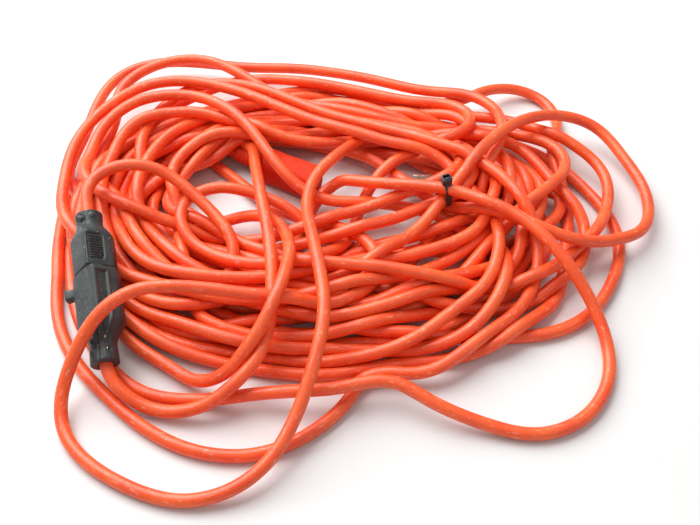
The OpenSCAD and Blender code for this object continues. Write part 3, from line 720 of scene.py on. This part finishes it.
def half_shell(side, form, relief, body, neck_from, length, sunk, covered, lean=0.0):
    """One half of a fitting's shell, along its own +Z from its mating face, with wall and neck bore.

    Sunk screws, as (z, y), lie in dimples and covered ones under low domes; lean shifts the ridge sideways.
    """
    start = FACE_GAP
    half = np.concatenate([[0, 0.3, 0.7, 1.2, 1.8], np.arange(2.5, 177.6, 2.5),
                           [178.2, 178.8, 179.3, 179.7, 180]])
    angle = np.radians(-90 + half)
    heights = np.concatenate([[start, start + 0.15, start + 0.4, start + 0.8],
                              np.arange(start + 1.3, length + start - 0.5, 0.55),
                              [length + start - 0.4, length + start - 0.15, length + start]])
    rings = []
    for z in heights:
        own = z - start
        to_neck = float(smooth_step(own, body - 1.5, neck_from + 1.5))
        flare = 0.35 * smooth_step(own, neck_from + 2, length)
        outer = ((1 - to_neck) * form(angle) * (1 + 0.012 * smooth_step(own, 0, 8))
                 + to_neck * (NECK_R - 0.25 + flare))
        lip = max(0, 1 - own / 0.8, 1 - (length - own) / 0.6)
        outer = outer - 0.45 * lip ** 2
        x, y = outer * np.cos(angle), outer * np.sin(angle)
        outer = outer + relief(x * side, y, np.full_like(x, own), side)
        for screw_z, screw_y in covered:
            around = outer * (angle - math.atan2(1.1 * screw_y, 5.2))
            outer = outer + 1.0 * smooth_step(-np.hypot(own - screw_z, around), -2.9, -1.0)
        x, y = outer * np.cos(angle), outer * np.sin(angle)
        for screw_z, screw_y in sunk:
            dent = smooth_step(-np.hypot(own - screw_z, y - screw_y), -1.75, -1.3)
            x = x * (1 - dent) + np.minimum(x, 5.25) * dent
        inner = np.maximum(form(angle) - SHELL_WALL, NECK_BORE_R)
        bore = float(smooth_step(own, body - 4, body + 1))
        inner = np.minimum((1 - bore) * inner + bore * NECK_BORE_R, outer - 0.8)
        inner_x, inner_y = inner * np.cos(angle), inner * np.sin(angle)
        round_edge = 0.28 * np.exp(-(x / 0.5) ** 2)
        outer_y = y - np.sign(y) * round_edge
        loop_x = np.concatenate([np.maximum(x, SEAM_GAP), np.maximum(inner_x[::-1], SEAM_GAP)]) * side
        loop_y = np.concatenate([outer_y, inner_y[::-1]])
        loop_x += lean * (1 - to_neck) * smooth_step(-loop_y, 0, 16)
        rings.append(np.column_stack([loop_x, loop_y, np.full(len(loop_x), z)]))
    # The ends are closed wall by wall rather than by a fan, as the ring isn't convex
    points, faces = loft(rings, closed=True)
    count, sides = len(heights), 2 * len(angle)
    faces = faces[:(count - 1) * sides]
    for ring in (0, count - 1):
        first = ring * sides
        faces += [(first + k, first + k + 1, first + sides - 2 - k, first + sides - 1 - k)
                  for k in range(len(angle) - 1)]
    return points, faces


def add_black_pair():
    plug_form = house(PLUG_HALF, PLUG_RIDGE, PLUG_BASE)
    connector_form = house(CONNECTOR_HALF, CONNECTOR_RIDGE, CONNECTOR_BASE)
    out = []
    for side, word in ((-1, "left"), (1, "right")):
        half = half_shell(side, plug_form, plug_relief, *PLUG_ENDS, [], PLUG_SCREWS)
        plug = make(f"plug_{word}_cover", [half], in_pair())
        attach(plug, "plug")
        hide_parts(f"plug_{word}_shell")
        screws = (CONNECTOR_SCREWS, []) if side > 0 else ([], CONNECTOR_SCREWS)
        half = half_shell(side, connector_form, connector_relief, *CONNECTOR_ENDS, *screws, CONNECTOR_LEAN)
        connector = make(f"connector_{word}_cover", [half], in_connector())
        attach(connector, "heap")
        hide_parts(f"connector_{word}_shell")
        out += [plug, connector]
    button = make("lock_button_cap", [button_skin()], in_connector())
    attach(button, "lock_button")
    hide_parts("lock_release_button")
    return out + [button]


BUTTON_Y, BUTTON_Z = 2, 11                   # the lock button's line in the connector
SPRING_FROM, SPRING_TO = -12.0, -8.6
SPRING_TURNS, SPRING_R, SPRING_WIRE_R = 3.5, 2.2, 0.26


def add_lock_spring():
    """Coil spring behind the lock button."""
    t = np.linspace(0, 1, 120)
    turned = 2 * math.pi * SPRING_TURNS * t
    path = np.column_stack([SPRING_FROM + (SPRING_TO - SPRING_FROM) * t,
                            BUTTON_Y + SPRING_R * np.cos(turned), BUTTON_Z + SPRING_R * np.sin(turned)])
    wire = loft(rings_along(path, SPRING_WIRE_R, round_angles(10)))
    spring = make("lock_spring_coil", [wire], in_connector(), crease=60)
    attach(spring, "heap")
    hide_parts("lock_spring")
    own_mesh(spring)
    return spring


def button_skin():
    """Rounded lug with a dished end and a foot inside the shell."""
    angle = round_angles(48)
    unit = oval(1, 1, 5, angle)
    y_unit, z_unit = unit * np.cos(angle), unit * np.sin(angle)
    rings = []
    for x, half_y, half_z in ((-12.35, 3.9, 5.0), (-13.3, 3.9, 5.0), (-13.35, 3.5, 4.0), (-15.4, 3.5, 4.0),
                              (-16.4, 3.4, 3.9), (-17.0, 3.2, 3.7), (-17.6, 3.35, 3.85), (-18.6, 3.45, 3.95),
                              (-20.3, 3.5, 4.0), (-21.0, 3.35, 3.85), (-21.4, 3.0, 3.5), (-21.5, 2.4, 2.9),
                              (-21.2, 1.7, 2.1), (-21.0, 0.6, 0.8)):
        rings.append(np.column_stack([np.full(len(angle), x), BUTTON_Y + half_y * y_unit,
                                      BUTTON_Z + half_z * z_unit]))
    return loft(rings)


# ---- orange outlet and end plug

def oval(half_x, half_y, power, angle):
    """Radius by angle of a rounded rectangle."""
    return (np.abs(np.cos(angle) / half_x) ** power + np.abs(np.sin(angle) / half_y) ** power) ** (-1 / power)


def moulding_skin():
    """Body with a pocket for its block, shoulder and ribbed relief with a bore for the cord."""
    angle, half_width, edge = round_angles(96), 12, 1.6
    body, pocket = oval(half_width, END_HEIGHT / 2, 3.3, angle), oval(9.08, 10.08, 8, angle)
    parting = 0.14 * np.exp(-(np.sin(angle) * half_width / 0.35) ** 2)
    rings = [(26.6, pocket * 0.5), (26.6, pocket), (1.0, pocket), (0.25, pocket + 0.05), (0, pocket + 0.3)]
    rings += [(edge - edge * math.cos(a), body - edge + edge * math.sin(a))
              for a in np.radians((0, 22, 45, 68, 90))]
    for z in np.arange(3, END_BODY + 0.1, 1.5):
        waist = 0.5 * math.sin(math.pi * smooth_step(z, 14, 42)) ** 2
        rings.append((z, body + parting - waist))
    for t in np.linspace(0.1, 1, 9):
        z = END_BODY + END_SHOULDER * t
        rings.append((z, (body + parting) * (1 - ease(t)) + 7.0 * ease(t)))
    for z in np.arange(END_BODY + END_SHOULDER + 0.4, END_TOTAL - 0.7, 0.4):
        t = (z - END_BODY - END_SHOULDER) / RELIEF
        wave = 0.5 + 0.5 * math.cos(2 * math.pi * (z - END_BODY - END_SHOULDER) / 3.6)
        notch = 0.55 * float(smooth_step(0.5 - wave, 0, 0.4)) * float(smooth_step(t, 0.04, 0.1))
        across = smooth_step(np.abs(np.cos(angle)), 0.25, 0.45)
        rings.append((z, 7.0 - 1.4 * t - notch * across))
    rings += [(END_TOTAL - 0.4, 5.6), (END_TOTAL - 0.1, 5.45), (END_TOTAL, 5.2)]
    rings += [(END_TOTAL, 4.5), (END_TOTAL - 0.4, 4.4), (END_BODY, 4.4), (END_BODY, 2.0)]
    return loft(level_rings(rings, angle))


def add_mouldings():
    out = []
    for name, node, face, angle in (("outlet_body", "outlet_moulding", OUTLET_FACE, OUTLET_TURN),
                                    ("end_plug_body", "end_plug_moulding", END_PLUG_FACE, END_PLUG_TURN)):
        place = at((*face, END_AXIS_HEIGHT), (math.degrees(angle), "Z"), (-90, "Y"), (90, "Z"))
        obj = make(name, [moulding_skin()], place, crease=50)
        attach(obj, "heap")
        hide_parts(node)
        out.append(obj)
    return out


# ---- cable tie

TIE_AT, TIE_TURN = (66, 29, 36), 20
TIE_TOP = 10.5           # underside of the head
TAIL_Y = -1.5
STRAP_R, STRAP_HALF = 6.25, 4.5              # the strap's bends and half its straight sides


def tie_skins():
    """Strap with fine teeth round both strands, head with a pocket, and the tail's cut end."""
    bend = [(STRAP_R * math.cos(a), STRAP_HALF + STRAP_R * math.sin(a))
            for a in np.radians(np.arange(0, 180, 4.0))]
    side = [(-STRAP_R, z) for z in np.arange(STRAP_HALF, -STRAP_HALF, -0.6)]
    path = np.array(bend + side)
    path = np.vstack([path, -path])
    ahead, behind = np.roll(path, -1, 0), np.roll(path, 1, 0)
    way = ahead - behind
    way /= lengths(way)[:, None]
    outward = np.column_stack([way[:, 1], -way[:, 0]])
    strap = []
    for k, (p, n) in enumerate(zip(path, outward)):
        tooth = 0.12 if k % 2 else 0.0
        ring = []
        for across, depth in ((-2.4, -0.4), (-2.4, 0.4), (-2.1, 0.63), (-1.3, 0.63), (-1.2, 0.5 - tooth),
                              (1.2, 0.5 - tooth), (1.3, 0.63), (2.1, 0.63), (2.4, 0.4), (2.4, -0.4),
                              (2.1, -0.62), (-2.1, -0.62)):
            y, z = p + depth * n
            ring.append((across, y, z))
        strap.append(ring)
    angle = round_angles(64)
    outer, pocket = oval(3.7, 3.5, 4, angle), oval(2.5, 2.3, 9, angle)
    levels = [(TIE_TOP, outer * 0.5), (TIE_TOP, outer - 0.5), (TIE_TOP + 0.15, outer - 0.15),
              (TIE_TOP + 0.5, outer), (TIE_TOP + 2.4, outer), (TIE_TOP + 2.5, outer - 0.15),
              (TIE_TOP + 2.8, outer - 0.15), (TIE_TOP + 2.9, outer), (TIE_TOP + 4.4, outer),
              (TIE_TOP + 4.8, outer - 0.15), (TIE_TOP + 5, outer - 0.5), (TIE_TOP + 5, pocket + 0.2),
              (TIE_TOP + 4.8, pocket), (TIE_TOP + 1.45, pocket), (TIE_TOP + 1.4, pocket * 0.5)]
    corners = oval(2.1, 0.75, 7, angle)
    cuts = ((1, 0.1), (5.2, 0.0), (5.6, 0.05), (5.7, 0.3))
    tail = np.array(level_rings([(TIE_TOP + z, corners - cut) for z, cut in cuts], angle))
    return [loft(strap, closed=True), loft(level_rings(levels, angle)), loft(tail + (0, TAIL_Y, 0))]


def add_tie():
    tie = make("tie_strap_and_head", tie_skins(), at(TIE_AT, (TIE_TURN, "Z")))
    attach(tie, "heap")
    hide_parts("cable_tie")
    return tie


# ---- finishes

def add_node(tree, kind, **values):
    node = tree.nodes.new(kind)
    for name, value in values.items():
        if name in node.inputs:
            node.inputs[name].default_value = value
        else:
            setattr(node, name, value)
    return node


def finish_of(name, base, other, rough, metallic=0.0, patch=0.06, scuff=(0.9, 0.8, 0.75), scuffs=0.0,
              speck=(0.03, 0.025, 0.02), specks=0.0, grain=3.0, bump=0.2, stretch=(1, 1, 1), lay=False,
              gloss=0.5, dot=0.8):
    """A worn finish in millimetres: two mixed base colours, scuffs, specks, uneven roughness and bumps."""
    material = bpy.data.materials.new(name)
    material.use_nodes = True
    tree = material.node_tree
    link = tree.links.new
    shader = tree.nodes["Principled BSDF"]
    shader.inputs["Metallic"].default_value = metallic
    shader.inputs["Specular IOR Level"].default_value = gloss
    if lay:
        source = add_node(tree, "ShaderNodeAttribute", attribute_name="lay").outputs["Vector"]
        unit = 1.0
    else:
        source = add_node(tree, "ShaderNodeTexCoord").outputs["Object"]
        unit = 1000.0
    place = add_node(tree, "ShaderNodeVectorMath", operation="SCALE", Scale=unit)
    link(source, place.inputs[0])
    stretched = add_node(tree, "ShaderNodeVectorMath", operation="MULTIPLY")
    stretched.inputs[1].default_value = stretch
    link(place.outputs[0], stretched.inputs[0])

    def noise(where, scale, detail, roughness=0.55):
        node = add_node(tree, "ShaderNodeTexNoise", Scale=scale, Detail=detail, Roughness=roughness)
        link(where.outputs[0], node.inputs["Vector"])
        return node.outputs["Fac"]

    def band(value, low, high, to_low=0.0, to_high=1.0):
        node = add_node(tree, "ShaderNodeMapRange", interpolation_type="SMOOTHSTEP")
        for key, number in (("From Min", low), ("From Max", high), ("To Min", to_low), ("To Max", to_high)):
            node.inputs[key].default_value = number
        link(value, node.inputs["Value"])
        return node.outputs["Result"]

    def mix(factor, first, second):
        node = tree.nodes.new("ShaderNodeMix")
        node.data_type = "RGBA"
        link(factor, node.inputs[0])
        for socket, value in ((node.inputs[6], first), (node.inputs[7], second)):
            if isinstance(value, tuple):
                socket.default_value = (*value, 1)
            else:
                link(value, socket)
        return node.outputs[2]

    clouds = noise(place, patch, 3.0)
    colour = mix(band(clouds, 0.35, 0.68), base, other)
    marks = noise(stretched, 0.5, 6.0, 0.65)
    scuffed = band(marks, 0.70 - 0.16 * scuffs, 0.80 - 0.12 * scuffs, 0.0, 0.2 + 0.4 * scuffs)
    colour = mix(scuffed, colour, scuff)
    dots = noise(place, dot, 2.0, 0.4)
    specked = band(dots, 0.74 - 0.1 * specks, 0.79 - 0.1 * specks, 0.0, 0.35 + 0.5 * specks)
    colour = mix(specked, colour, speck)
    link(colour, shader.inputs["Base Color"])
    uneven = add_node(tree, "ShaderNodeMath", operation="MULTIPLY_ADD")
    uneven.inputs[1].default_value = 0.22
    link(scuffed, uneven.inputs[0])
    link(band(noise(place, 0.35, 5.0), 0.3, 0.7, rough - 0.08, rough + 0.08), uneven.inputs[2])
    link(uneven.outputs[0], shader.inputs["Roughness"])
    relief = add_node(tree, "ShaderNodeBump", Strength=bump, Distance=0.0002)
    link(noise(place, grain, 6.0, 0.6), relief.inputs["Height"])
    link(relief.outputs["Normal"], shader.inputs["Normal"])
    return material


FINISHES = {
    "orange_jacket": dict(
        base=(0.96, 0.116, 0.021), other=(0.84, 0.072, 0.012), rough=0.39, patch=0.03,
        scuffs=0.8, specks=0.5, grain=1.6, bump=0.3, stretch=(0.35, 1.1, 1.1),
        scuff=(0.98, 0.52, 0.36), lay=True, gloss=0.6),
    "orange_moulding": dict(
        base=(0.66, 0.036, 0.008), other=(0.56, 0.028, 0.006), rough=0.62, patch=0.08,
        scuffs=0.35, specks=0.2, grain=1.2, bump=0.15, scuff=(0.9, 0.3, 0.18), gloss=0.15),
    "black_shell": dict(
        base=(0.044, 0.052, 0.052), other=(0.028, 0.034, 0.035), rough=0.44, patch=0.12,
        scuffs=0.5, specks=0.5, dot=0.55, grain=2.6, bump=0.35, scuff=(0.24, 0.25, 0.23),
        speck=(0.5, 0.47, 0.38), gloss=0.4),
    "dark_insulator": dict(
        base=(0.03, 0.032, 0.034), other=(0.05, 0.05, 0.05), rough=0.45, patch=0.2,
        scuffs=0.2, specks=0.1, grain=2.0, bump=0.2),
    "plated_blade": dict(
        base=(0.72, 0.69, 0.62), other=(0.6, 0.57, 0.5), rough=0.28, metallic=1.0,
        patch=0.3, scuffs=0.4, specks=0.3, grain=4.0, bump=0.1, stretch=(0.3, 3, 3)),
    "brass": dict(
        base=(0.78, 0.56, 0.22), other=(0.62, 0.42, 0.15), rough=0.32, metallic=1.0, patch=0.3,
        scuffs=0.3, specks=0.4, grain=4.0, bump=0.1),
    "spring_steel": dict(
        base=(0.55, 0.55, 0.56), other=(0.42, 0.42, 0.43), rough=0.3, metallic=1.0,
        patch=0.4, scuffs=0.2, specks=0.3, grain=5.0, bump=0.1),
    "conductor_insulation": dict(
        base=(0.7, 0.7, 0.66), other=(0.58, 0.58, 0.54), rough=0.45, patch=0.2,
        scuffs=0.2, specks=0.2, grain=2.0, bump=0.15),
    "tie_nylon": dict(
        base=(0.022, 0.022, 0.024), other=(0.04, 0.04, 0.042), rough=0.38, patch=0.3,
        scuffs=0.4, specks=0.1, grain=2.5, bump=0.2, scuff=(0.3, 0.3, 0.3)),
}


def add_finishes(pieces):
    """Each piece and CAD node gets its slot's finish; a CAD cord has no coordinates of its own."""
    made = {slot: finish_of(slot, **look) for slot, look in FINISHES.items()}
    plain = finish_of("orange_jacket_plain", **{**FINISHES["orange_jacket"], "lay": False})
    for obj, slot in pieces:
        obj.data.materials.clear()
        obj.data.materials.append(made[slot])
    slots = {part["node"]: part["material_slot"] for part in frame["record"]["subparts"]}
    for name, obj in frame["nodes"].items():
        obj.data.materials.clear()
        obj.data.materials.append(plain if slots[name] == "orange_jacket" else made[slots[name]])


# ---- floor and light

def add_floor():
    half = 6.0
    data = bpy.data.meshes.new("floor")
    corners = [(-half, -half, 0), (half, -half, 0), (half, half, 0), (-half, half, 0)]
    data.from_pydata(corners, [], [(0, 1, 2, 3)])
    floor = add_object("floor", data)
    data.materials.append(finish_of("floor", (0.74, 0.735, 0.73), (0.72, 0.715, 0.71), 0.6, patch=0.004,
                                    grain=0.5, bump=0.03))


def add_light(name, place, energy, size):
    """A square soft light aimed at the middle of the floor."""
    data = bpy.data.lights.new(name, "AREA")
    data.energy, data.size = energy, size
    light = add_object(name, data)
    light.location = place
    light.rotation_euler = Vector(place).to_track_quat("Z", "Y").to_euler()


def add_world(strength):
    world = bpy.data.worlds.new("world")
    world.use_nodes = True
    background = world.node_tree.nodes["Background"]
    background.inputs["Color"].default_value = (1, 1, 1, 1)
    background.inputs["Strength"].default_value = strength
    scene.world = world


cords = add_cords()
shells = add_black_pair()
spring = add_lock_spring()
mouldings = add_mouldings()
tie = add_tie()
add_finishes([(o, "orange_jacket") for o in cords] + [(o, "black_shell") for o in shells]
             + [(o, "orange_moulding") for o in mouldings]
             + [(tie, "tie_nylon"), (spring, "spring_steel")])
add_floor()
add_light("window", (-0.8, 0.95, 1.5), 72, 2.0)
add_light("room", (1.2, -0.8, 1.6), 3, 1.6)
add_world(0.42)
scene.view_settings.view_transform = "Standard"
